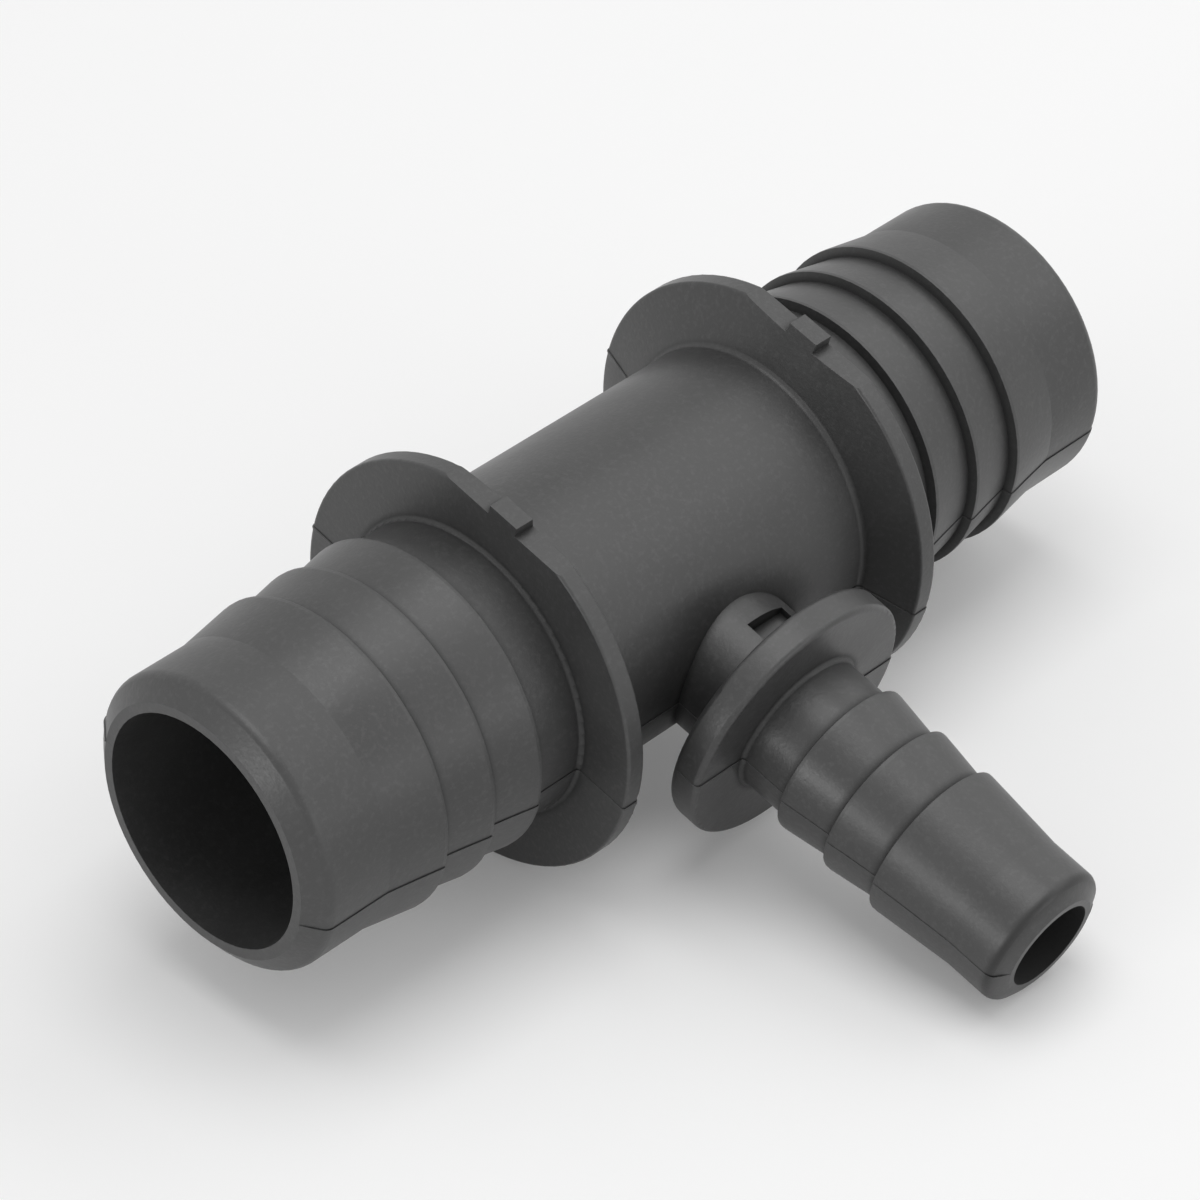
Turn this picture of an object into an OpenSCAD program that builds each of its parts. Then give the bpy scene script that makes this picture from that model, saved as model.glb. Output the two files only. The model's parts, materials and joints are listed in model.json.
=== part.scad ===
// Reducing hose tee, moulded in one piece: a wide straight run with a barbed
// spigot at each end, and a narrow barbed branch at right angles to it.
// The run lies along X and the origin is where the two bores cross. The tee
// lies as it comes to rest: on the rims of both run flanges and on the nose
// of the branch, which dips to the floor.

/* [Run] */
// Bore right through the run
run_bore_d = 16.4; // [10:0.1:18]
// Outside of the body between the two flanges
body_d = 20.8; // [19.5:0.1:24]
// Space between the two flanges
flange_gap = 26; // [22:0.5:40]

/* [Run spigots] */
// Outside of the spigot between its barbs
run_root_d = 20.7; // [19.2:0.1:20.9]
// Outside of the barb edges
run_barb_d = 22; // [21:0.1:24]
// Outside of the plain end that the hose slides over first
run_land_d = 20.7; // [19.4:0.1:20.9]
// From the flange to the edge of the first barb
run_seat = 4.1; // [2:0.1:8]
// From one barb edge to the next
run_pitch = 4.1; // [2.5:0.1:6]
// Length of the last barb's ramp
run_last_ramp = 4.3; // [2:0.1:8]
// Length of the plain end
run_land = 4.5; // [2:0.1:8]
// Length of the tapered nose
run_nose = 1.6; // [1.2:0.1:2.4]
// Width of the flat ring round the mouth
run_lip = 0.7; // [0.3:0.05:0.8]

/* [Branch spigot] */
// Bore of the branch
branch_bore_d = 6.4; // [3:0.1:7.4]
// Outside of the spigot between its barbs
branch_root_d = 10.1; // [9.2:0.1:10.4]
// Outside of the barb edges
branch_barb_d = 11.2; // [10.8:0.1:13]
// Outside of the plain end that the hose slides over first
branch_land_d = 10.1; // [9.4:0.1:10.6]
// From the flange to the edge of the first barb
branch_seat = 3.9; // [2:0.1:8]
// From one barb edge to the next
branch_pitch = 4.1; // [2.5:0.1:6]
// Length of the last barb's ramp
branch_last_ramp = 6.1; // [2:0.1:8]
// Length of the plain end
branch_land = 3; // [2:0.1:8]
// Length of the tapered nose
branch_nose = 1.2; // [1:0.1:2]
// Width of the flat ring round the mouth
branch_lip = 0.5; // [0.3:0.05:0.8]

/* [Barbs] */
// Barbs on each spigot
barb_count = 3; // [2:1:5]
// Length of the face that holds the hose back
barb_face = 0.2; // [0.1:0.05:0.5]
// Width of the blunt edge on top of a barb
barb_edge = 0.25; // [0.1:0.05:0.5]

/* [Run flanges] */
// Diameter of the flanges that stop the hose
flange_d = 29; // [26:0.5:36]
// Thickness of each flange at its rim
flange_t = 1.4; // [0.9:0.1:3]
// How much thicker each flange is at its root, on the body side
flange_taper = 1.1; // [0:0.1:2]
// Depth of the flat on top of each flange
flat_depth = 0.95; // [0.6:0.05:2]
// Height of the nub in the middle of the flat
nub_h = 0.7; // [0.3:0.1:1]
// Width of the nub
nub_w = 2.4; // [1.5:0.1:4]

/* [Branch neck and flange] */
// Diameter of the neck between the body and the branch flange
neck_d = 10.4; // [9:0.1:13]
// From the axis of the run to the branch flange
neck_reach = 13.9; // [13:0.1:20]
// Diameter of the branch flange
branch_flange_d = 18.6; // [15:0.1:22]
// Thickness of the branch flange
branch_flange_t = 2.2; // [1:0.1:3]
// Width of the pocket in the neck, just behind the flange
pocket_w = 3.4; // [1.5:0.1:4]
// How far the middle of the pocket lies to the +X side
pocket_shift = 0.9; // [0:0.1:1]
// Length of the pocket along the neck
pocket_l = 3; // [1:0.1:3]
// Depth of the pocket below the top of the neck
pocket_depth = 1.2; // [0.5:0.1:1.3]

/* [Rounded corners] */
// Radius in the corners between the body and the run flanges
body_fillet = 0.4; // [0.2:0.1:0.8]
// Radius in the corners between the spigots, the neck and the flanges
seat_fillet = 0.3; // [0.2:0.1:0.8]
// Radius of the run flange rims
rim_round = 0.2; // [0.1:0.05:0.3]
// Radius of the branch flange rim
branch_rim_round = 0.4; // [0.1:0.05:0.45]
// Radius where a plain end turns into its nose
nose_round = 0.9; // [0.4:0.1:1]

/* [Hidden] */
$fn = 128;
cut = 0.5;
plastic = "#47484a";

run_bore_r = run_bore_d / 2;
branch_bore_r = branch_bore_d / 2;
flange_r = flange_d / 2;
flange_in = flange_gap / 2;
flange_out = flange_in + flange_t;
flange_root = flange_in - flange_taper;
branch_stop = neck_reach + branch_flange_t;

// Lean of the flanges' body side: its line ends as a tangent of the rim round
rim_rise = flange_r - rim_round - body_d / 2;
rim_run = flange_taper + rim_round;
flange_lean = atan2(rim_run, rim_rise)
    - asin(rim_round / norm([rim_rise, rim_run]));

// Where the plain end of a spigot starts, counted from its flange
function land_start(seat, pitch, last_ramp) =
    seat + (barb_count - 1) * pitch + last_ramp;
run_length = flange_out + land_start(run_seat, run_pitch, run_last_ramp)
    + run_land + run_nose;
branch_length = branch_stop
    + land_start(branch_seat, branch_pitch, branch_last_ramp)
    + branch_land + branch_nose;

// Dip of the branch at rest: the round of its nose touches the floor that
// the run flanges stand on
nose_centre_x = branch_length - branch_nose;
nose_centre_r = branch_land_d / 2 - nose_round;
dip = asin((flange_r - nose_round) / norm([nose_centre_x, nose_centre_r]))
    - atan2(nose_centre_r, nose_centre_x);

// Half sections are drawn with the radius along X and the axis along Y.

// Bar from r0 to r1 and from x0 to x1, with its two outer corners rounded
module rounded_bar(r0, r1, x0, x1, round) {
    translate([r0, x0]) square([r1 - round - r0, x1 - x0]);
    translate([r0, x0 + round]) square([r1 - r0, x1 - x0 - 2 * round]);
    for (x = [x0 + round, x1 - round]) translate([r1 - round, x]) circle(round);
}

// Fillet in the corner between a wall of radius r and a face at x, on the
// side of the face that side gives, 1 or -1. The face leans back from that
// side by lean degrees.
module corner_fillet(r, x, side, fillet, lean = 0) {
    centre_x = x + side * fillet * tan(45 - lean / 2);
    touch_r = r + fillet * (1 - sin(lean));
    touch_x = centre_x - side * fillet * cos(lean);
    back_x = x - side * cut;
    difference() {
        polygon([[r - cut, centre_x], [r + fillet, centre_x],
                 [touch_r, touch_x], [touch_r, back_x], [r - cut, back_x]]);
        translate([r + fillet, centre_x]) circle(fillet);
    }
}

// One barb with its edge at x: a steep face, a blunt edge and a ramp
module barb(root_r, barb_r, x, ramp_end, end_r) {
    polygon([[0, x - barb_face], [root_r, x - barb_face], [barb_r, x],
             [barb_r, x + barb_edge], [end_r, ramp_end], [0, ramp_end]]);
}

// Nose from a plain end of radius land_r at x: an arc that turns through
// 45 degrees, a cone and a flat ring of radius lip_r
module nose(land_r, lip_r, x, length) {
    turn = [for (a = [0 : 5 : 45])
        [land_r - nose_round * (1 - cos(a)), x + nose_round * sin(a)]];
    polygon(concat([[0, x]], turn, [[lip_r, x + length], [0, x + length]]));
}

// Half section of a spigot that starts at its flange face at x
module spigot_section(root_r, barb_r, land_r, lip_r, x, seat, pitch,
                      last_ramp, land, nose_l) {
    land_x = x + land_start(seat, pitch, last_ramp);
    translate([0, x - cut]) square([root_r, land_x - x + cut]);
    for (i = [0 : barb_count - 1]) {
        last = i == barb_count - 1;
        barb(root_r, barb_r, x + seat + i * pitch,
             last ? land_x : x + seat + (i + 1) * pitch - barb_face,
             last ? land_r : root_r);
    }
    translate([0, land_x]) square([land_r, land]);
    nose(land_r, lip_r, land_x + land, nose_l);
}

// Half section of the taper on the body side of a run flange
module flange_taper_section() {
    round_r = flange_r - rim_round;
    round_x = flange_in + rim_round;
    polygon([[0, flange_root], [body_d / 2, flange_root],
             [round_r + rim_round * sin(flange_lean),
              round_x - rim_round * cos(flange_lean)],
             [round_r, round_x], [0, round_x]]);
}

// Half section of one end of the run, from the middle of the body outwards
module run_section() {
    square([body_d / 2, flange_in + cut]);
    rounded_bar(0, flange_r, flange_in, flange_out, rim_round);
    flange_taper_section();
    corner_fillet(body_d / 2, flange_root, -1, body_fillet, flange_lean);
    corner_fillet(run_root_d / 2, flange_out, 1, seat_fillet);
    spigot_section(run_root_d / 2, run_barb_d / 2, run_land_d / 2,
                   run_bore_r + run_lip, flange_out, run_seat, run_pitch,
                   run_last_ramp, run_land, run_nose);
}

// Half section of the branch, from the axis of the run outwards
module branch_section() {
    square([neck_d / 2, neck_reach + cut]);
    rounded_bar(0, branch_flange_d / 2, neck_reach, branch_stop,
                branch_rim_round);
    corner_fillet(neck_d / 2, neck_reach, -1, seat_fillet);
    corner_fillet(branch_root_d / 2, branch_stop, 1, seat_fillet);
    spigot_section(branch_root_d / 2, branch_barb_d / 2, branch_land_d / 2,
                   branch_bore_r + branch_lip, branch_stop, branch_seat,
                   branch_pitch, branch_last_ramp, branch_land, branch_nose);
}

// Cuts the flat on top of both flanges and leaves the nub in its middle
module flange_flats() {
    flat_z = flange_r - flat_depth;
    length = flange_taper + flange_t + 2 * cut;
    for (start = [flange_root - cut, -flange_out - cut]) {
        for (side = [-1, 1])
            translate([start, side > 0 ? nub_w / 2 : -flange_r, flat_z])
                cube([length, flange_r - nub_w / 2, flange_r]);
        translate([start, -nub_w, flat_z + nub_h])
            cube([length, 2 * nub_w, flange_r]);
    }
}

// Pocket in the top of the neck, open upwards and closed by the flange
module neck_pocket() {
    translate([pocket_shift - pocket_w / 2, -neck_reach,
               neck_d / 2 - pocket_depth])
        cube([pocket_w, pocket_l, neck_d]);
}

module tee() {
    color(plastic) rotate([dip, 0, 0]) difference() {
        union() {
            for (turn = [90, -90])
                rotate([0, turn, 0]) rotate_extrude() run_section();
            rotate([90, 0, 0]) rotate_extrude() branch_section();
        }
        rotate([0, 90, 0])
            cylinder(h = 2 * run_length + 2 * cut, d = run_bore_d, center = true);
        rotate([90, 0, 0])
            cylinder(h = branch_length + cut, d = branch_bore_d);
        flange_flats();
        neck_pocket();
    }
}

tee();
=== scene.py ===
"""Dresses the reducing hose tee: its moulded nylon finish, with shade painted into
its corners, crease, branch bore and nose band, the step along its front parting
line and the flash along its back one, and the pale studio floor, lamps and camera."""

import json
import math

import bpy
from bpy.props import FloatProperty, FloatVectorProperty, IntProperty, PointerProperty
from mathutils import Matrix, Vector
from mathutils.noise import noise as noise_at

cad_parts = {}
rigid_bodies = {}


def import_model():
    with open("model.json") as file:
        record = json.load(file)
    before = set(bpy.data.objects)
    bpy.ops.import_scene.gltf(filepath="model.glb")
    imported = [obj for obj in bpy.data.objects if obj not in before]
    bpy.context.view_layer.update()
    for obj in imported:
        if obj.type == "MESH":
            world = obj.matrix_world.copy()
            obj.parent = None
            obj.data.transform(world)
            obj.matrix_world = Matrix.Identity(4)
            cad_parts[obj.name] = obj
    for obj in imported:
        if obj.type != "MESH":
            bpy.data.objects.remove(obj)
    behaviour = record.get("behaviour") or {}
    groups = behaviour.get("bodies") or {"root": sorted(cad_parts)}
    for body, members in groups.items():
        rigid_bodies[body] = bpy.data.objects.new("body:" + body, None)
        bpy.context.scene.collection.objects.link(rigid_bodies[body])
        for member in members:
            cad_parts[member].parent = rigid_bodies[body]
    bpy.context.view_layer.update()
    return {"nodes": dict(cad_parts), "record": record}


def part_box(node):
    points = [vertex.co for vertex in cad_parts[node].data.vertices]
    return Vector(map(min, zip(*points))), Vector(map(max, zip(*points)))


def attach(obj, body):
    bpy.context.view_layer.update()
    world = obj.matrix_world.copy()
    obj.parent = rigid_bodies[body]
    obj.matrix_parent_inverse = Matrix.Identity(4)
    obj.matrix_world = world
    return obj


bl_info = {
    "name": "Hose Tee Studio",
    "version": (1, 0, 0),
    "blender": (4, 5, 0),
    "location": "3D View > Sidebar > Hose Tee",
    "description": "Finishes a moulded hose tee and sets it on a pale studio floor",
    "category": "Object",
}

MM = 0.001

# How near each other the points of a mesh and of a wire are merged, and how
# near the parting plane and a bore's wall a point counts as on it
MERGED = 0.001 * MM
WIRE_MERGED = 0.03 * MM
ON_PLANE = 0.002 * MM
ON_WALL = 0.03 * MM
# How deep the slipped half stays below the faces of the mouths
BELOW_FACE = 0.01 * MM
# How nearly a face of the cut at the parting plane looks up, as a cosine
LEVEL = 0.999
# Angles below which the edges of the slipped half and of the flash are smooth
STEP_SMOOTH = math.radians(25)
FLASH_SMOOTH = math.radians(40)
# Most times that a long edge of a wire is halved
HALVINGS = 8

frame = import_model()
mounts = {mount["name"]: mount for mount in frame["record"]["mounts"]}

# The tee lies with its branch dipping to the floor. Its own frame has the
# branch level, along -Y, and its mould parted at its own Z of zero.
branch_way = Vector(mounts["branch_bore"]["axis"])
DIP = math.atan2(-branch_way.z, -branch_way.y)
LYING = Matrix.Rotation(DIP, 3, "X")
STANDING = LYING.inverted()
OWN_UP = LYING @ Vector((0, 0, 1))
RUN_BORE_R = mounts["run_bore"]["dims"]["r_mm"] * MM
BRANCH_BORE_R = mounts["branch_bore"]["dims"]["r_mm"] * MM
FLOOR_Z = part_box("tee")[0].z
own_points = [STANDING @ vertex.co for vertex in frame["nodes"]["tee"].data.vertices]
# From the middle of the tee to the end of the run and of the branch
RUN_END = max(point.x for point in own_points)
BRANCH_END = max(-point.y for point in own_points)

# Levels of a noise, from 0 to 1, between which a pattern of the skin fades in:
# its paler patches, its flecks, the painted shade of the crease where it is left,
# and its dullness
PALER = {"From Min": 0.35, "From Max": 0.65}
FLECKED = {"From Min": 0.5, "From Max": 0.7}
CREASE_SHADE_LEFT = {"From Min": 0.5, "From Max": 0.6}
DULLER = {"From Min": 0.3, "From Max": 0.7}
# Height above the parting plane over which the crease's painted shade begins, in mm
CREASE_SHADE_FOOT = {"From Min": 0.005, "From Max": 0.02}
# Open space round a point, from 0 to 1, over which a corner's painted shade fades out
CORNER_SHADE_FADE = {"From Min": 0.6, "From Max": 0.95}
FADING = {"To Min": 1.0, "To Max": 0.0}
# Share of the fleck colour in the middle of a fleck
FLECK_SHARE = 0.5
# Roughness taken off the shinier patches, and added in the duller ones and in
# the corners
SHINIER = 0.05
ROUGHER = 0.07
CORNER_ROUGHER = 0.4
# How far the painted shade of the branch's bore wall reaches into its mouth's face
BORE_SHADE_REACH = 0.02 * MM
# Rays that look for the edges to soften and for the corners
RAYS = 6
NYLON_IOR = 1.53

# Width of the floor and nearest distance seen, in metres, and the sensor, in mm
FLOOR_WIDTH = 8
NEAREST = 0.01
SENSOR_WIDTH = 36


def linear(hex_colour):
    """Linear RGB of an sRGB hex colour."""
    parts = [int(hex_colour[i : i + 2], 16) / 255 for i in (1, 3, 5)]
    return tuple(c / 12.92 if c <= 0.04045 else ((c + 0.055) / 1.055) ** 2.4 for c in parts)


def rgba(colour):
    """A colour with full alpha, as a node's socket takes it."""
    return (*colour, 1.0)


def socket(sockets, name):
    """The socket of that name or number that the node's settings leave in use."""
    if isinstance(name, int):
        return sockets[name]
    return next(each for each in sockets if each.name == name and each.enabled)


def add_node(tree, kind, inputs=None, **settings):
    """Adds a node with its settings, and fills its inputs with plain values
    or from other nodes, by the first output that each has in use."""
    node = tree.nodes.new(kind)
    for name, value in settings.items():
        setattr(node, name, value)
    for name, value in (inputs or {}).items():
        target = socket(node.inputs, name)
        if isinstance(value, bpy.types.Node):
            value = next(each for each in value.outputs if each.enabled)
        if isinstance(value, bpy.types.NodeSocket):
            tree.links.new(value, target)
        else:
            target.default_value = value
    return node


def new_material(name):
    """An empty node material and its output node."""
    material = bpy.data.materials.new(name)
    material.use_nodes = True
    material.node_tree.nodes.clear()
    output = add_node(material.node_tree, "ShaderNodeOutputMaterial")
    return material, output


def deselect_all():
    """Leaves nothing selected and no object being edited."""
    if bpy.context.mode != "OBJECT":
        bpy.ops.object.mode_set(mode="OBJECT")
    bpy.ops.object.select_all(action="DESELECT")


def make_active(piece):
    """Selects one piece alone."""
    deselect_all()
    piece.select_set(True)
    bpy.context.view_layer.objects.active = piece


# Property groups


class TeePlasticSettings(bpy.types.PropertyGroup):
    """Sizes and colours of the moulded nylon, and of the shade painted on it."""

    skin: FloatVectorProperty(
        name="Skin colour",
        description="Resin-rich skin, where the mould pressed hardest",
        subtype="COLOR",
        default=linear("#343434"),
    )
    dry: FloatVectorProperty(
        name="Dry colour",
        description="Paler patches where glass fibre lies close under the skin",
        subtype="COLOR",
        default=linear("#3b3b3b"),
    )
    fleck: FloatVectorProperty(
        name="Fleck colour",
        description="Fine flecks of glass fibre",
        subtype="COLOR",
        default=linear("#484848"),
    )
    # Painted shade: a colour that stands in for the shadow in the crease above the front parting
    # line
    crease_shade_colour: FloatVectorProperty(
        name="Crease colour",
        description="Shade in the crease above the front parting line",
        subtype="COLOR",
        default=linear("#141414"),
    )
    roughness: FloatProperty(
        name="Roughness",
        description="Roughness of the skin between its shinier patches",
        subtype="FACTOR",
        default=0.4,
        min=0.2,
        max=0.9,
    )
    grain: FloatProperty(
        name="Grain",
        description="Width of the fine grain, in mm",
        default=0.14,
        min=0.05,
        max=1.0,
    )
    grain_depth: FloatProperty(
        name="Grain depth",
        description="Depth of the fine grain, in mm",
        default=0.014,
        min=0.0,
        max=0.05,
    )
    fibre: FloatProperty(
        name="Fleck width",
        description="Width of a fleck of glass fibre, in mm",
        default=0.2,
        min=0.05,
        max=1.0,
    )
    wave: FloatProperty(
        name="Waviness",
        description="Width of the shallow waves left by shrinkage, in mm",
        default=1.6,
        min=0.5,
        max=6.0,
    )
    wave_depth: FloatProperty(
        name="Wave depth",
        description="Depth of the shallow waves, in mm",
        default=0.02,
        min=0.0,
        max=0.1,
    )
    patch: FloatProperty(
        name="Patch width",
        description="Width of the duller patches, in mm",
        default=4.5,
        min=1.0,
        max=20.0,
    )
    # How high the crease's painted shade reaches above the parting line
    crease: FloatProperty(
        name="Crease",
        description="Height of the dark crease above the front parting line, in mm",
        default=0.04,
        min=0.02,
        max=0.3,
    )
    edge_round: FloatProperty(
        name="Edge round",
        description="Radius that softens the moulded edges, in mm",
        default=0.06,
        min=0.0,
        max=0.5,
    )
    # Painted shade: a colour that stands in for the shade in the inner corners, on the branch's bore
    # wall and in the band round its nose
    corner: FloatVectorProperty(
        name="Corner colour",
        description="Shade in the inner corners, the branch's bore and its nose's band",
        subtype="COLOR",
        default=linear("#0a0a0a"),
    )
    # Reach of the painted shade in the inner corners
    corner_reach: FloatProperty(
        name="Corner reach",
        description="How far from an inner corner its shade starts, in mm",
        default=0.7,
        min=0.1,
        max=2.0,
    )
    # Place, width and strength of the painted shade band round the branch's nose
    band_back: FloatProperty(
        name="Band place",
        description="From the branch's mouth to the middle of its nose's dark band, in mm",
        default=0.8,
        min=0.0,
        max=2.0,
    )
    band_half: FloatProperty(
        name="Band half width",
        description="From the middle of the dark band to where it has faded, in mm",
        default=0.6,
        min=0.1,
        max=2.0,
    )
    band_shade: FloatProperty(
        name="Band shade",
        description="Share of the corner colour in the middle of the dark band",
        subtype="FACTOR",
        default=0.9,
        min=0.0,
        max=1.0,
    )
    seam_half: FloatProperty(
        name="Seam half width",
        description="Half the width of the facets beside the mesh's top seam, in mm",
        default=1.0,
        min=0.5,
        max=2.0,
    )
    seam_top: FloatProperty(
        name="Seam top",
        description="Height above the run's axis, over the barbs and under the flats, in mm",
        default=12.0,
        min=11.0,
        max=14.0,
    )


class TeeMouldSettings(bpy.types.PropertyGroup):
    """How far the lower mould half slipped, and the groove along its edge."""

    slip_x: FloatProperty(
        name="Slip along the run",
        description="How far the lower half lies towards -X, in mm",
        default=0.035,
        min=0.02,
        max=0.3,
    )
    slip_y: FloatProperty(
        name="Slip along the branch",
        description="How far the lower half lies towards the branch's end, in mm",
        default=0.08,
        min=0.02,
        max=0.3,
    )
    rim: FloatProperty(
        name="Rim",
        description="Width of the raised rim below the parting line, in mm",
        default=0.06,
        min=0.05,
        max=0.2,
    )
    groove: FloatProperty(
        name="Groove",
        description="Depth of the groove behind the raised rim, in mm",
        default=0.08,
        min=0.05,
        max=0.6,
    )
    cover: FloatProperty(
        name="Cover",
        description="How deep the moved half stays below the bores' walls, in mm",
        default=0.1,
        min=0.05,
        max=0.2,
    )


class TeeFlashSettings(bpy.types.PropertyGroup):
    """Sizes of the flash along the back parting line."""

    width: FloatProperty(
        name="Width",
        description="Width of the flash across the parting line, in mm",
        default=0.2,
        min=0.05,
        max=0.6,
    )
    proud: FloatProperty(
        name="Height",
        description="How far the flash stands off the surface, in mm",
        default=0.12,
        min=0.03,
        max=0.4,
    )
    least: FloatProperty(
        name="Least height",
        description="Height left where the flash has been rubbed off, as a share",
        subtype="FACTOR",
        default=0.35,
        min=0.1,
        max=1.0,
    )
    stretch: FloatProperty(
        name="Stretch",
        description="Length over which the height changes, in mm",
        default=0.8,
        min=0.2,
        max=5.0,
    )
    shoulder: FloatProperty(
        name="Shoulder",
        description="Height at the two sides of the flash, as a share of its middle",
        subtype="FACTOR",
        default=0.3,
        min=0.0,
        max=1.0,
    )
    seed: IntProperty(
        name="Seed",
        description="Changes where the flash is rubbed",
        default=4,
        min=0,
    )


class TeeStageSettings(bpy.types.PropertyGroup):
    """The floor, the lamps and the camera."""

    floor: FloatVectorProperty(
        name="Floor colour",
        description="Plain pale floor",
        subtype="COLOR",
        default=linear("#eeeeee"),
    )
    lift: FloatProperty(
        name="Floor lift",
        description="Light added to the floor for the eye alone",
        subtype="FACTOR",
        default=0.12,
        min=0.0,
        max=1.0,
    )
    sky: FloatProperty(
        name="Sky",
        description="Strength of the even light from all round",
        default=0.45,
        min=0.0,
        max=3.0,
    )
    top: FloatProperty(
        name="Top lamp",
        description="Power of the large lamp overhead, in watts",
        unit="POWER",
        default=1.87,
        min=0.0,
        max=50.0,
    )
    right: FloatProperty(
        name="Right lamp",
        description="Power of the high lamp on the right, in watts",
        unit="POWER",
        default=0.72,
        min=0.0,
        max=50.0,
    )
    corner: FloatProperty(
        name="Corner lamp",
        description="Power of the high lamp on the right in front, in watts",
        unit="POWER",
        default=0.38,
        min=0.0,
        max=50.0,
    )
    left: FloatProperty(
        name="Left lamp",
        description="Power of the low lamp on the left, in watts",
        unit="POWER",
        default=0.73,
        min=0.0,
        max=50.0,
    )
    front: FloatProperty(
        name="Front lamp",
        description="Power of the low lamp in front, in watts",
        unit="POWER",
        default=0.35,
        min=0.0,
        max=50.0,
    )
    azimuth: FloatProperty(
        name="Camera azimuth",
        description="Way the camera looks, from +Y towards +X",
        subtype="ANGLE",
        default=math.radians(45.7746),
        min=-math.pi,
        max=math.pi,
    )
    elevation: FloatProperty(
        name="Camera elevation",
        description="Angle of the camera above level",
        subtype="ANGLE",
        default=math.radians(38.0492),
        min=-math.pi / 2,
        max=math.pi / 2,
    )
    look_at: FloatVectorProperty(
        name="Look at",
        description="Point in the middle of the picture, in mm",
        subtype="XYZ",
        default=(-1.977, 0.102, -1.718),
    )
    distance: FloatProperty(
        name="Camera distance",
        description="From the camera to the point it looks at, in mm",
        default=340.87,
        min=50,
        max=2000,
    )
    lens: FloatProperty(
        name="Lens",
        description="Focal length on a sensor 36 mm wide, in mm",
        unit="CAMERA",
        default=156.68,
        min=20,
        max=400,
    )


# Finishes


def without_seam(tree, here, own, normal, look):
    """The normal, made true along the seam at the top of the run, where the
    facets of its turned surfaces aren't shaded as one. A turned surface's
    normal has a part along the run, which is kept, and a part straight away
    from the run's axis."""
    level = add_node(
        tree, "ShaderNodeMapping", {"Vector": normal, "Rotation": (-DIP, 0, 0)}, vector_type="VECTOR"
    )
    across = add_node(tree, "ShaderNodeVectorMath", {0: here, 1: (0, 1, 1)}, operation="MULTIPLY")
    outward = add_node(tree, "ShaderNodeVectorMath", {0: across}, operation="NORMALIZE")
    lift = add_node(
        tree, "ShaderNodeVectorMath", {0: level, 1: outward}, operation="DOT_PRODUCT"
    )
    away = add_node(
        tree, "ShaderNodeVectorMath", {0: outward, "Scale": lift.outputs["Value"]}, operation="SCALE"
    )
    along = add_node(tree, "ShaderNodeVectorMath", {0: level, 1: (1, 0, 0)}, operation="MULTIPLY")
    total = add_node(tree, "ShaderNodeVectorMath", {0: along, 1: away}, operation="ADD")
    unit = add_node(tree, "ShaderNodeVectorMath", {0: total}, operation="NORMALIZE")
    lying = add_node(
        tree, "ShaderNodeMapping", {"Vector": unit, "Rotation": (DIP, 0, 0)}, vector_type="VECTOR"
    )
    beside = add_node(
        tree, "ShaderNodeMath", {0: own.outputs["Y"], 1: 0.0, 2: look.seam_half}, operation="COMPARE"
    )
    middle = look.seam_top / 2
    above = add_node(
        tree, "ShaderNodeMath", {0: own.outputs["Z"], 1: middle, 2: middle}, operation="COMPARE"
    )
    seam = add_node(tree, "ShaderNodeMath", {0: beside, 1: above}, operation="MULTIPLY")
    return add_node(
        tree, "ShaderNodeMix", {"Factor": seam, "A": normal, "B": lying}, data_type="VECTOR"
    )


def skin_noises(tree, here, look):
    """The noises behind the skin's patterns, each from its width in mm, its
    detail and its roughness. A noise's blobs are about half as wide as its
    period. Real glass fibres are near 0.01 mm thick, too fine to show, so their
    grain and flecks are drawn wider."""
    kinds = {
        "grain": (look.grain, 2.0, 0.6),
        "fibre": (look.fibre, 2.0, 0.7),
        "wave": (look.wave, 2.0, 0.5),
        "patch": (look.patch, 4.0, 0.55),
    }
    return {
        name: add_node(
            tree,
            "ShaderNodeTexNoise",
            {"Vector": here, "Scale": 0.5 / width, "Detail": detail, "Roughness": breakup},
        )
        for name, (width, detail, breakup) in kinds.items()
    }


def skin_colour(tree, patch, fibre, look):
    """Resin-rich skin, its paler patches over it, and flecks over both."""
    paler = add_node(tree, "ShaderNodeMapRange", {"Value": patch, **PALER})
    skin = add_node(
        tree,
        "ShaderNodeMix",
        {"Factor": paler, "A": rgba(look.skin), "B": rgba(look.dry)},
        data_type="RGBA",
    )
    flecks = add_node(
        tree, "ShaderNodeMapRange", {"Value": fibre, **FLECKED, "To Max": FLECK_SHARE}
    )
    return add_node(
        tree,
        "ShaderNodeMix",
        {"Factor": flecks, "A": skin, "B": rgba(look.fleck)},
        data_type="RGBA",
    )


def crease_painted_shade(tree, own, patch, look):
    """Painted shade along the crease: 1 just above the parting plane, in the
    stretches where the crease is left, and 0 elsewhere."""
    foot = add_node(tree, "ShaderNodeMapRange", {"Value": own.outputs["Z"], **CREASE_SHADE_FOOT})
    top = add_node(
        tree,
        "ShaderNodeMapRange",
        {"Value": own.outputs["Z"], "From Min": look.crease, "From Max": 2 * look.crease, **FADING},
    )
    band = add_node(tree, "ShaderNodeMath", {0: foot, 1: top}, operation="MULTIPLY")
    left = add_node(tree, "ShaderNodeMapRange", {"Value": patch, **CREASE_SHADE_LEFT})
    return add_node(tree, "ShaderNodeMath", {0: band, 1: left}, operation="MULTIPLY")


def inner_corner_painted_shade(tree, look):
    """Painted shade: 1 in the sharp inner corners, where little light falls, and 0 in the open."""
    open_space = add_node(
        tree,
        "ShaderNodeAmbientOcclusion",
        {"Distance": look.corner_reach * MM},
        samples=RAYS,
        only_local=True,
    )
    return add_node(
        tree, "ShaderNodeMapRange", {"Value": open_space.outputs["AO"], **CORNER_SHADE_FADE, **FADING}
    )


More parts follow.
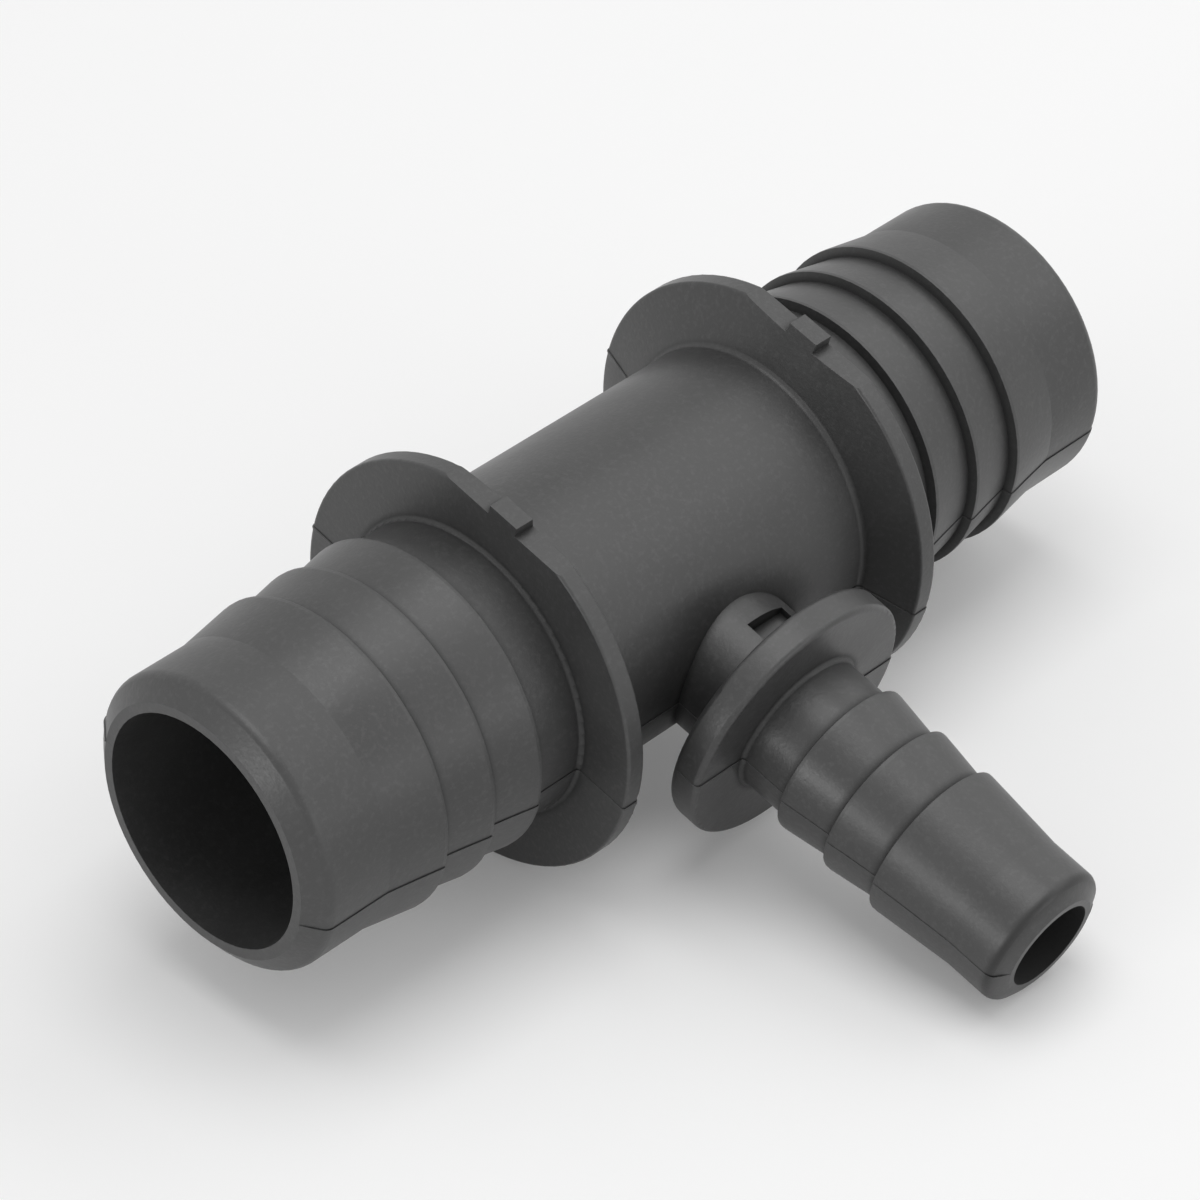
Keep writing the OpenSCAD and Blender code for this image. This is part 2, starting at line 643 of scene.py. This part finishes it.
def branch_bore_painted_shade(tree, here, own):
    """Painted shade of the branch's bore: 1 on its wall, and 0 elsewhere."""
    across = add_node(tree, "ShaderNodeVectorMath", {0: here, 1: (1, 0, 1)}, operation="MULTIPLY")
    radius = add_node(tree, "ShaderNodeVectorMath", {0: across}, operation="LENGTH")
    inside = add_node(
        tree,
        "ShaderNodeMath",
        {0: radius.outputs["Value"], 1: (BRANCH_BORE_R + BORE_SHADE_REACH) / MM},
        operation="LESS_THAN",
    )
    front = add_node(tree, "ShaderNodeMath", {0: own.outputs["Y"], 1: 0.0}, operation="LESS_THAN")
    return add_node(tree, "ShaderNodeMath", {0: inside, 1: front}, operation="MULTIPLY")


def branch_nose_painted_shade(tree, own, look):
    """How much painted shade the soft band round the branch's nose gets at each place."""
    middle = BRANCH_END / MM - look.band_back
    past = add_node(tree, "ShaderNodeMath", {0: own.outputs["Y"], 1: middle}, operation="ADD")
    aside = add_node(tree, "ShaderNodeMath", {0: past}, operation="ABSOLUTE")
    return add_node(
        tree,
        "ShaderNodeMapRange",
        {"Value": aside, "From Max": look.band_half, "To Min": look.band_shade, "To Max": 0.0},
        interpolation_type="SMOOTHSTEP",
    )


# Nylon 66 with 30% glass fibre, injection moulded: to the eye it is a nearly
# black satin skin that shines grey, with a fine broken grain where fibres lie
# under the skin and duller patches. Painted shade darkens its inner corners, the
# branch's bore, a band round the branch's nose and a crease along the front parting line.
def glass_filled_nylon(look):
    """The plastic of the whole tee, with its patterns in mm of the tee's own frame."""
    material, output = new_material("glass_filled_nylon_moulded")
    tree = material.node_tree
    place = add_node(tree, "ShaderNodeTexCoord")
    here = add_node(
        tree,
        "ShaderNodeMapping",
        {
            "Vector": place.outputs["Object"],
            "Rotation": (-DIP, 0, 0),
            "Scale": (1 / MM, 1 / MM, 1 / MM),
        },
    )
    own = add_node(tree, "ShaderNodeSeparateXYZ", {"Vector": here})
    noises = skin_noises(tree, here, look)
    patch = noises["patch"]

    # The skin's colour, the crease's painted shade over it, and painted shade in
    # hidden places and in the nose's band over both
    crease_shaded = add_node(
        tree,
        "ShaderNodeMix",
        {
            "Factor": crease_painted_shade(tree, own, patch, look),
            "A": skin_colour(tree, patch, noises["fibre"], look),
            "B": rgba(look.crease_shade_colour),
        },
        data_type="RGBA",
    )
    # Painted shade in the inner corners and on the branch's bore, which are also dulled below
    hidden = add_node(
        tree,
        "ShaderNodeMath",
        {0: inner_corner_painted_shade(tree, look), 1: branch_bore_painted_shade(tree, here, own)},
        operation="MAXIMUM",
    )
    shade = add_node(
        tree,
        "ShaderNodeMath",
        {0: hidden, 1: branch_nose_painted_shade(tree, own, look)},
        operation="MAXIMUM",
    )
    colour = add_node(
        tree,
        "ShaderNodeMix",
        {"Factor": shade, "A": crease_shaded, "B": rgba(look.corner)},
        data_type="RGBA",
    )

    # Duller patches, and hidden places that stay dull
    shine = add_node(
        tree,
        "ShaderNodeMapRange",
        {
            "Value": patch,
            **DULLER,
            "To Min": look.roughness - SHINIER,
            "To Max": look.roughness + ROUGHER,
        },
    )
    dull = add_node(
        tree,
        "ShaderNodeMath",
        {0: hidden, 1: CORNER_ROUGHER, 2: shine},
        operation="MULTIPLY_ADD",
    )

    # Softened edges, the mended seam, and waves and grain over them
    soft_edge = add_node(
        tree, "ShaderNodeBevel", {"Radius": look.edge_round * MM}, samples=RAYS
    )
    turned = without_seam(tree, here, own, soft_edge, look)
    waves = add_node(
        tree,
        "ShaderNodeBump",
        {
            "Strength": 1.0,
            "Distance": look.wave_depth * MM,
            "Height": noises["wave"],
            "Normal": turned,
        },
    )
    grains = add_node(
        tree,
        "ShaderNodeBump",
        {
            "Strength": 1.0,
            "Distance": look.grain_depth * MM,
            "Height": noises["grain"],
            "Normal": waves,
        },
    )
    shader = add_node(
        tree,
        "ShaderNodeBsdfPrincipled",
        {"Base Color": colour, "Roughness": dull, "IOR": NYLON_IOR, "Normal": grains},
    )
    tree.links.new(shader.outputs["BSDF"], output.inputs["Surface"])
    return material


def seen_by_eye(tree):
    """1 for camera, reflected and refracted rays, and 0 for the rays that light the part."""
    path = add_node(tree, "ShaderNodeLightPath")
    direct = add_node(
        tree,
        "ShaderNodeMath",
        {0: path.outputs["Is Camera Ray"], 1: path.outputs["Is Glossy Ray"]},
        operation="MAXIMUM",
    )
    return add_node(
        tree,
        "ShaderNodeMath",
        {0: direct, 1: path.outputs["Is Transmission Ray"]},
        operation="MAXIMUM",
    )


# Matt paper, uncoated: to the eye it is an even white that keeps the soft
# shadow of the tee.
def pale_floor(stage):
    """Diffuse white with a little light of its own for the eye alone."""
    material, output = new_material("pale_paper_floor")
    tree = material.node_tree
    paper = add_node(tree, "ShaderNodeBsdfDiffuse", {"Color": rgba(stage.floor)})
    lift = add_node(
        tree,
        "ShaderNodeMath",
        {0: seen_by_eye(tree), 1: stage.lift},
        operation="MULTIPLY",
    )
    glow = add_node(tree, "ShaderNodeEmission", {"Color": rgba((1, 1, 1)), "Strength": lift})
    both = add_node(tree, "ShaderNodeAddShader", {0: paper, 1: glow})
    tree.links.new(both.outputs["Shader"], output.inputs["Surface"])
    return material


# Mould halves


def tee_copy():
    """A merged copy of the tee, active and being edited, with all of it selected."""
    deselect_all()
    piece = frame["nodes"]["tee"].copy()
    piece.data = piece.data.copy()
    for key in list(piece.keys()):
        del piece[key]
    piece.parent = None
    bpy.context.scene.collection.objects.link(piece)
    make_active(piece)
    bpy.ops.mesh.customdata_custom_splitnormals_clear()
    bpy.ops.object.mode_set(mode="EDIT")
    bpy.ops.mesh.select_all(action="SELECT")
    bpy.ops.mesh.remove_doubles(threshold=MERGED)
    bpy.ops.mesh.select_all(action="SELECT")
    return piece


def on_run_bore(own):
    """Whether a point of the tee's own frame lies on the wall of the run's bore."""
    return math.hypot(own.y, own.z) < RUN_BORE_R + ON_WALL


def on_branch_bore(own):
    """Whether a point of the tee's own frame lies on the wall of the branch's bore."""
    return own.y < 0 and math.hypot(own.x, own.z) < BRANCH_BORE_R + ON_WALL


def slipped(own, step):
    """Where a point of the lower half ends up: moved with its mould half, on a
    bore's wall also moved into the plastic round it, and just below the face
    of a mouth, which the core of the bore shaped and no slip moved."""
    moved = own + Vector((-step.slip_x, -step.slip_y, 0)) * MM
    if on_run_bore(own):
        moved += Vector((0, own.y, own.z)).normalized() * (step.cover + step.slip_y) * MM
    elif on_branch_bore(own):
        moved += Vector((own.x, 0, own.z)).normalized() * (step.cover + step.slip_x) * MM
    moved.x = max(moved.x, BELOW_FACE - RUN_END)
    moved.y = max(moved.y, BELOW_FACE - BRANCH_END)
    return moved


def shift_lower_half(step):
    """The outside of the tee's lower half, moved as its mould half was, with a
    fine groove behind its raised rim."""
    piece = tee_copy()
    bpy.ops.mesh.bisect(plane_co=(0, 0, 0), plane_no=OWN_UP, use_fill=True, clear_outer=True)
    bpy.ops.object.mode_set(mode="OBJECT")
    for vertex in piece.data.vertices:
        vertex.co = LYING @ slipped(STANDING @ vertex.co, step)
    for face in piece.data.polygons:
        on_plane = abs((STANDING @ face.center).z) < ON_PLANE
        face.select = on_plane and face.normal.dot(OWN_UP) > LEVEL
    if not any(face.select for face in piece.data.polygons):
        raise RuntimeError("The cut at the parting plane left no face to inset")
    bpy.ops.object.mode_set(mode="EDIT")
    bpy.ops.mesh.select_mode(type="FACE")
    bpy.ops.mesh.quads_convert_to_tris()
    bpy.ops.mesh.inset(thickness=step.rim * MM, use_even_offset=False)
    down = -OWN_UP * step.groove * MM
    bpy.ops.mesh.extrude_region_move(TRANSFORM_OT_translate={"value": down})
    bpy.ops.object.mode_set(mode="OBJECT")
    bpy.ops.object.shade_smooth_by_angle(angle=STEP_SMOOTH)
    return piece


def parting_wires():
    """Cuts a copy of the tee at its parting plane and leaves only the outer
    lines of the cut, one wire for each side."""
    before = set(bpy.data.objects)
    piece = tee_copy()
    bpy.ops.mesh.bisect(plane_co=(0, 0, 0), plane_no=OWN_UP)
    bpy.ops.mesh.select_all(action="DESELECT")
    bpy.ops.object.mode_set(mode="OBJECT")
    for vertex in piece.data.vertices:
        own = STANDING @ vertex.co
        off_plane = abs(own.z) > ON_PLANE
        vertex.select = off_plane or on_run_bore(own) or on_branch_bore(own)
    bpy.ops.object.mode_set(mode="EDIT")
    bpy.ops.mesh.select_mode(type="VERT")
    bpy.ops.mesh.delete(type="VERT")
    bpy.ops.mesh.select_all(action="SELECT")
    bpy.ops.mesh.delete(type="ONLY_FACE")
    bpy.ops.mesh.select_all(action="SELECT")
    bpy.ops.mesh.remove_doubles(threshold=WIRE_MERGED)
    bpy.ops.mesh.separate(type="LOOSE")
    bpy.ops.object.mode_set(mode="OBJECT")
    return [wire for wire in bpy.data.objects if wire not in before]


def divide_long_edges(piece, longest):
    """Halves edges until none is longer than the given length, and fails where
    that takes too many turns."""
    bpy.ops.object.mode_set(mode="EDIT")
    bpy.ops.mesh.select_mode(type="EDGE")
    for _ in range(HALVINGS):
        bpy.ops.mesh.select_all(action="DESELECT")
        bpy.ops.object.mode_set(mode="OBJECT")
        points = piece.data.vertices
        for edge in piece.data.edges:
            start, end = (points[i].co for i in edge.vertices)
            edge.select = (start - end).length > longest
        found = any(edge.select for edge in piece.data.edges)
        bpy.ops.object.mode_set(mode="EDIT")
        if not found:
            break
        bpy.ops.mesh.subdivide(number_cuts=1)
    else:
        raise RuntimeError("Edges of a parting line are still too long")
    bpy.ops.object.mode_set(mode="OBJECT")


def raise_flash(piece, flash):
    """Turns a wire in the parting plane into a low ridge, highest along its
    middle, that has been rubbed down in places."""
    make_active(piece)
    divide_long_edges(piece, flash.stretch * MM / 2)
    height = piece.vertex_groups.new(name="height")
    half = OWN_UP * flash.width * MM / 2
    shift = Vector((flash.seed, flash.seed, flash.seed))
    bpy.ops.object.mode_set(mode="EDIT")
    bpy.ops.mesh.select_all(action="SELECT")
    bpy.ops.transform.translate(value=-half)
    bpy.ops.mesh.extrude_edges_move(TRANSFORM_OT_translate={"value": half})
    bpy.ops.mesh.extrude_edges_move(TRANSFORM_OT_translate={"value": half})
    bpy.ops.mesh.select_all(action="SELECT")
    bpy.ops.mesh.normals_make_consistent(inside=False)
    bpy.ops.object.mode_set(mode="OBJECT")
    for vertex in piece.data.vertices:
        middle = abs((STANDING @ vertex.co).z) < flash.width * MM / 4
        share = 0.5 + 0.5 * noise_at(vertex.co / (flash.stretch * MM) + shift)
        height.add([vertex.index], share if middle else share * flash.shoulder, "REPLACE")
    thick = piece.modifiers.new("height", "SOLIDIFY")
    thick.thickness = 2 * flash.proud * MM
    thick.offset = 0
    thick.vertex_group = "height"
    thick.thickness_vertex_group = flash.least
    bpy.ops.object.modifier_apply(modifier="height")
    piece.vertex_groups.clear()
    bpy.ops.object.shade_smooth_by_angle(angle=FLASH_SMOOTH)


def finish_piece(piece, name):
    """Names a new piece, gives it the tee's plastic and lets it ride."""
    piece.name = name
    piece.data.name = name
    piece.data.materials.clear()
    piece.data.materials.append(bpy.data.materials["glass_filled_nylon_moulded"])
    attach(piece, "root")


# Operators


class TEE_OT_finish_plastic(bpy.types.Operator):
    """Gives the moulded tee its glass-filled nylon"""

    bl_idname = "tee.finish_plastic"
    bl_label = "Finish plastic"

    def execute(self, context):
        tee = frame["nodes"]["tee"]
        if not tee.material_slots:
            raise RuntimeError("The tee has no material slot to fill")
        material = glass_filled_nylon(context.scene.tee_plastic)
        for slot in tee.material_slots:
            slot.material = material
        return {"FINISHED"}


class TEE_OT_mould_step(bpy.types.Operator):
    """Adds the small step that a slipped lower mould half left along the front
    parting line"""

    bl_idname = "tee.mould_step"
    bl_label = "Add mould step"

    def execute(self, context):
        piece = shift_lower_half(context.scene.tee_mould)
        finish_piece(piece, "lower_half_step")
        return {"FINISHED"}


class TEE_OT_flash(bpy.types.Operator):
    """Adds the thin flash along the back parting line"""

    bl_idname = "tee.flash"
    bl_label = "Add flash"

    def execute(self, context):
        found = False
        for wire in parting_wires():
            at_back = all((STANDING @ vertex.co).y > 0 for vertex in wire.data.vertices)
            if at_back:
                raise_flash(wire, context.scene.tee_flash)
                finish_piece(wire, "back_flash")
                found = True
            else:
                bpy.data.objects.remove(wire)
        if not found:
            raise RuntimeError("No parting line was found at the back of the tee")
        return {"FINISHED"}


class TEE_OT_set_stage(bpy.types.Operator):
    """Sets the pale floor, the studio lamps, the sky and the camera"""

    bl_idname = "tee.set_stage"
    bl_label = "Set stage"

    def execute(self, context):
        stage = context.scene.tee_stage
        add_floor(stage)
        add_sky(context.scene, stage)
        for lamp in lamps(stage):
            add_lamp(*lamp)
        add_camera(context.scene, stage)
        context.scene.view_settings.view_transform = "Standard"
        return {"FINISHED"}


class TEE_PT_studio(bpy.types.Panel):
    """Lists the settings and steps in the 3D view's sidebar"""

    bl_label = "Hose Tee"
    bl_space_type = "VIEW_3D"
    bl_region_type = "UI"
    bl_category = "Hose Tee"

    def draw(self, context):
        layout = self.layout
        for heading, group, operator in STEPS:
            box = layout.box()
            box.label(text=heading)
            settings = getattr(context.scene, group)
            for name in settings.__annotations__:
                box.prop(settings, name)
            box.operator(operator)


# Stage


def add_floor(stage):
    """Lays a wide paper floor under the tee."""
    deselect_all()
    bpy.ops.mesh.primitive_plane_add(size=FLOOR_WIDTH, location=(0, 0, FLOOR_Z))
    floor = bpy.context.object
    floor.name = "floor"
    bpy.ops.object.transform_apply(location=True, rotation=True, scale=True)
    floor.data.materials.append(pale_floor(stage))


def looking_way(stage):
    """Direction in which the camera looks."""
    level = Vector((math.sin(stage.azimuth), math.cos(stage.azimuth), 0))
    return level * math.cos(stage.elevation) - Vector((0, 0, math.sin(stage.elevation)))


def add_sky(scene, stage):
    """White to the eye, and even light of the sky's strength on the part."""
    world = bpy.data.worlds.new("studio_white")
    scene.world = world
    world.use_nodes = True
    tree = world.node_tree
    tree.nodes.clear()
    output = add_node(tree, "ShaderNodeOutputWorld")
    strength = add_node(
        tree,
        "ShaderNodeMix",
        {"Factor": seen_by_eye(tree), "A": stage.sky, "B": 1.0},
        data_type="FLOAT",
    )
    light = add_node(tree, "ShaderNodeBackground", {"Color": rgba((1, 1, 1)), "Strength": strength})
    tree.links.new(light.outputs["Background"], output.inputs["Surface"])


def lamps(stage):
    """Name, watts, width and height in metres, and place of each lamp."""
    return [
        ("top_lamp", stage.top, 0.5, 0.5, Vector((0, 0, 0.7))),
        ("right_lamp", stage.right, 0.6, 0.4, Vector((0.48, -0.06, 0.46))),
        ("corner_lamp", stage.corner, 0.4, 0.4, Vector((0.35, -0.45, 0.45))),
        ("left_lamp", stage.left, 0.25, 0.12, Vector((-0.6, 0.03, 0.12))),
        ("front_lamp", stage.front, 0.4, 0.2, Vector((0.1, -0.6, 0.14))),
    ]


def aim(place, target):
    """Rotation of a lamp or camera at place that looks at target."""
    return (target - place).to_track_quat("-Z", "Y").to_euler()


def add_lamp(name, watts, width, height, place):
    """Hangs one soft rectangular lamp that looks at the tee."""
    deselect_all()
    turned = aim(place, Vector((0, 0, 0)))
    bpy.ops.object.light_add(type="AREA", location=place, rotation=turned)
    lamp = bpy.context.object
    lamp.name = name
    lamp.data.shape = "RECTANGLE"
    lamp.data.size = width
    lamp.data.size_y = height
    lamp.data.energy = watts


def add_camera(scene, stage):
    """Stands the camera where the tee is seen as in its studio picture."""
    target = Vector(stage.look_at) * MM
    place = target - looking_way(stage) * stage.distance * MM
    deselect_all()
    bpy.ops.object.camera_add(location=place, rotation=aim(place, target))
    camera = bpy.context.object
    camera.name = "studio_camera"
    camera.data.sensor_width = SENSOR_WIDTH
    camera.data.lens = stage.lens
    camera.data.clip_start = NEAREST
    scene.camera = camera


STEPS = [
    ("Plastic", "tee_plastic", "tee.finish_plastic"),
    ("Mould step", "tee_mould", "tee.mould_step"),
    ("Flash", "tee_flash", "tee.flash"),
    ("Stage", "tee_stage", "tee.set_stage"),
]
CLASSES = [
    TeePlasticSettings,
    TeeMouldSettings,
    TeeFlashSettings,
    TeeStageSettings,
    TEE_OT_finish_plastic,
    TEE_OT_mould_step,
    TEE_OT_flash,
    TEE_OT_set_stage,
    TEE_PT_studio,
]


def register():
    """Registers the classes and hangs their settings on the scene."""
    for each in CLASSES:
        bpy.utils.register_class(each)
    bpy.types.Scene.tee_plastic = PointerProperty(type=TeePlasticSettings)
    bpy.types.Scene.tee_mould = PointerProperty(type=TeeMouldSettings)
    bpy.types.Scene.tee_flash = PointerProperty(type=TeeFlashSettings)
    bpy.types.Scene.tee_stage = PointerProperty(type=TeeStageSettings)


def unregister():
    """Takes the settings and the classes away again."""
    del bpy.types.Scene.tee_stage
    del bpy.types.Scene.tee_flash
    del bpy.types.Scene.tee_mould
    del bpy.types.Scene.tee_plastic
    for each in reversed(CLASSES):
        bpy.utils.unregister_class(each)


def main():
    """Registers the add-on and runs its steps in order."""
    register()
    bpy.ops.tee.finish_plastic()
    bpy.ops.tee.mould_step()
    bpy.ops.tee.flash()
    bpy.ops.tee.set_stage()


if __name__ == "__main__":
    main()
